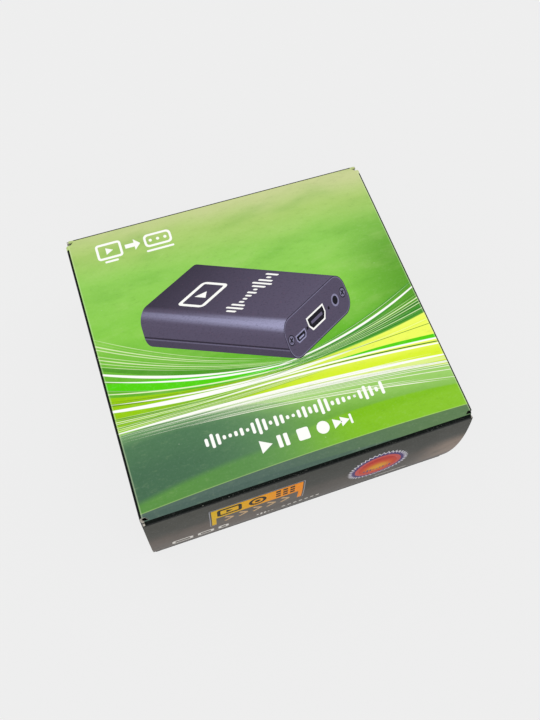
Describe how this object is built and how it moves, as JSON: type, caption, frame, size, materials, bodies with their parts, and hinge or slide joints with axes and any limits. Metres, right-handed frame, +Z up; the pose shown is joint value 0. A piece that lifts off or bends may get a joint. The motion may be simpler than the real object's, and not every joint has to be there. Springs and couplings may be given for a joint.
{
  "type": "boxed video capture box",
  "caption": "Printed retail carton with tuck-flap ends, holding a small metal video capture box in a card insert and foam cradle.",
  "frame": {"origin": "centre of the carton's underside, on the surface that it stands on", "axes": "+Z up out of the printed top panel; -Y out of the front end panel, the one with the badge; +X to the right, along the front"},
  "size_m": [0.13, 0.1256, 0.054],
  "materials": {
    "can_aluminium": "satin",
    "black_plastic": "matte",
    "plain_card": "matte",
    "printed_board": "satin",
    "plated_steel": "satin",
    "gold_contacts": "satin",
    "grey_foam": "matte",
    "guide_paper": "matte",
    "case_aluminium": "satin",
    "black_steel": "satin",
    "sink_aluminium": "satin",
    "circuit_board": "satin",
    "black_rubber": "matte",
    "chip_ceramic": "matte",
    "clear_lamp": "gloss",
    "thermal_rubber": "matte"
  },
  "bodies": {
    "carton": {"capacitors": "can_aluminium", "capture_chip": "black_plastic", "card_insert": "plain_card", "carton_sleeve": "printed_board", "crystal_can": "plated_steel", "data_socket_contacts": "gold_contacts", "data_socket_core": "black_plastic", "data_socket_shell": "plated_steel", "foam_cradle": "grey_foam", "foam_pad": "grey_foam", "folded_guide": "guide_paper", "front_end_plate": "case_aluminium", "front_plate_screws": "black_steel", "heat_sink": "sink_aluminium", "line_jack_body": "black_plastic", "line_jack_sleeve": "plated_steel", "lower_shell": "case_aluminium", "main_board": "circuit_board", "memory_chips": "black_plastic", "mic_jack_body": "black_plastic", "mic_jack_sleeve": "plated_steel", "power_coils": "black_plastic", "power_socket_contacts": "gold_contacts", "power_socket_core": "black_plastic", "power_socket_shell": "plated_steel", "rear_end_plate": "case_aluminium", "rear_plate_screws": "black_steel", "rubber_feet": "black_rubber", "small_parts": "chip_ceramic", "status_lights": "clear_lamp", "thermal_pad": "thermal_rubber", "upper_shell": "case_aluminium", "video_in_contacts": "gold_contacts", "video_in_core": "black_plastic", "video_in_shell": "plated_steel", "video_out_contacts": "gold_contacts", "video_out_core": "black_plastic", "video_out_shell": "plated_steel"},
    "front_closure": {"front_closure_panel": "printed_board"},
    "front_tuck": {"front_tuck_flap": "printed_board"},
    "rear_closure": {"rear_closure_panel": "printed_board"},
    "rear_tuck": {"rear_tuck_flap": "printed_board"},
    "front_left_dust": {"front_left_dust_flap": "printed_board"},
    "front_right_dust": {"front_right_dust_flap": "printed_board"},
    "rear_left_dust": {"rear_left_dust_flap": "printed_board"},
    "rear_right_dust": {"rear_right_dust_flap": "printed_board"}
  },
  "joints": [
    {"name": "front_closure_hinge", "type": "hinge", "parent": "carton", "child": "front_closure", "pos_m": [0, -0.0605, 0.0525], "axis": [-1, 0, 0], "range_deg": [0, 135]},
    {"name": "rear_closure_hinge", "type": "hinge", "parent": "carton", "child": "rear_closure", "pos_m": [0, 0.0605, 0.0525], "axis": [1, 0, 0], "range_deg": [0, 135]},
    {"name": "front_tuck_crease", "type": "hinge", "parent": "front_closure", "child": "front_tuck", "pos_m": [0, -0.059, 0.0012], "axis": [-1, 0, 0], "range_deg": [0, 15]},
    {"name": "rear_tuck_crease", "type": "hinge", "parent": "rear_closure", "child": "rear_tuck", "pos_m": [0, 0.059, 0.0012], "axis": [1, 0, 0], "range_deg": [0, 15]},
    {"name": "front_right_dust_hinge", "type": "hinge", "parent": "carton", "child": "front_right_dust", "pos_m": [0.0635, -0.0584, 0.0278], "axis": [0, 0, -1], "range_deg": [0, 70]},
    {"name": "front_left_dust_hinge", "type": "hinge", "parent": "carton", "child": "front_left_dust", "pos_m": [-0.0635, -0.0584, 0.0278], "axis": [0, 0, 1], "range_deg": [0, 70]},
    {"name": "rear_right_dust_hinge", "type": "hinge", "parent": "carton", "child": "rear_right_dust", "pos_m": [0.0635, 0.0584, 0.0278], "axis": [0, 0, 1], "range_deg": [0, 70]},
    {"name": "rear_left_dust_hinge", "type": "hinge", "parent": "carton", "child": "rear_left_dust", "pos_m": [-0.0635, 0.0584, 0.0278], "axis": [0, 0, -1], "range_deg": [0, 70]}
  ],
  "couplings": [
    {"joint": "front_tuck_crease", "follows": "front_closure_hinge", "ratio": 0.1},
    {"joint": "rear_tuck_crease", "follows": "rear_closure_hinge", "ratio": 0.1}
  ]
}
